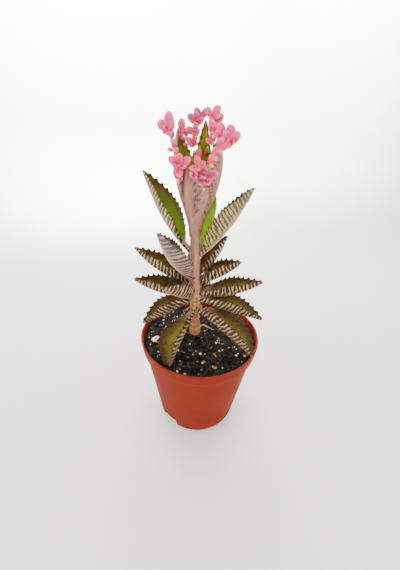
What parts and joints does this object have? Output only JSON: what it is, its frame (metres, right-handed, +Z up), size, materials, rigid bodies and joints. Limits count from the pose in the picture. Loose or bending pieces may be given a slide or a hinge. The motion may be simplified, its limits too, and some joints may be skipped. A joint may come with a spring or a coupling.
{
  "type": "potted kalanchoe",
  "caption": "Potted kalanchoe: upright succulent with toothed boat-shaped leaves, pink plantlets round its top whorl, in a tapered nursery pot of soil.",
  "frame": {"origin": "centre of the pot's flat base, on the surface it stands on", "axes": "+Z up along the pot's axis and the stem; -Y is the front, where the drooping lowest leaves and the opened plantlets face"},
  "size_m": [0.1085, 0.105, 0.2636],
  "materials": {
    "pot_plastic": "matte moulded, terracotta coloured",
    "soil": "loose peat-like potting soil with pale perlite grains",
    "stem_skin": "fleshy stem, corky orange-brown at the foot and mauve above",
    "leaf_olive": "waxy olive to bronze leaf, cream back with dark bars",
    "leaf_green": "waxy bright green leaf, pale barred back",
    "leaf_mauve": "waxy mauve-beige leaf back with grey-purple streaks",
    "plantlet_pink": "smooth pink spoon leaves on cream bases",
    "shoot_red": "smooth reddish young shoots"
  },
  "bodies": {
    "root": {"pot": "pot_plastic", "soil": "soil", "stem": "stem_skin", "leaf_tier1_front_left": "leaf_olive", "leaf_tier1_front_right": "leaf_olive", "leaf_tier1_back_right": "leaf_olive", "leaf_tier1_back_left": "leaf_olive", "leaf_tier2_left": "leaf_olive", "leaf_tier2_right": "leaf_olive", "leaf_tier3_front_left": "leaf_olive", "leaf_tier3_left": "leaf_olive", "leaf_tier3_right": "leaf_olive", "leaf_tier3_back_right": "leaf_olive", "leaf_tier4_left": "leaf_olive", "leaf_tier4_right": "leaf_olive", "leaf_tier4_back": "leaf_olive", "leaf_tier5_front_left": "leaf_mauve", "leaf_tier5_back_right": "leaf_olive", "leaf_tier6_left": "leaf_green", "leaf_tier6_right": "leaf_green", "leaf_tier6_back": "leaf_green", "leaf_top_left": "leaf_mauve", "leaf_top_back": "leaf_mauve", "leaf_top_right": "leaf_mauve", "leaf_top_front": "leaf_mauve", "plantlet_left_1": "plantlet_pink", "plantlet_left_2": "plantlet_pink", "plantlet_left_3": "plantlet_pink", "plantlet_left_4": "plantlet_pink", "plantlet_left_5": "plantlet_pink", "plantlet_left_6": "plantlet_pink", "plantlet_left_7": "plantlet_pink", "plantlet_front_1": "plantlet_pink", "plantlet_front_2": "plantlet_pink", "plantlet_front_3": "plantlet_pink", "plantlet_front_4": "plantlet_pink", "plantlet_front_5": "plantlet_pink", "plantlet_front_6": "plantlet_pink", "plantlet_front_7": "plantlet_pink", "plantlet_front_8": "plantlet_pink", "plantlet_back_1": "plantlet_pink", "plantlet_back_2": "plantlet_pink", "plantlet_back_3": "plantlet_pink", "plantlet_back_4": "plantlet_pink", "plantlet_back_5": "plantlet_pink", "plantlet_back_6": "plantlet_pink", "plantlet_right_1": "plantlet_pink", "plantlet_right_2": "plantlet_pink", "plantlet_right_3": "plantlet_pink", "plantlet_right_4": "plantlet_pink", "plantlet_right_5": "plantlet_pink", "plantlet_right_6": "plantlet_pink", "plantlet_right_7": "plantlet_pink", "shoot_1": "shoot_red", "shoot_2": "shoot_red", "shoot_3": "shoot_red"}
  },
  "joints": []
}
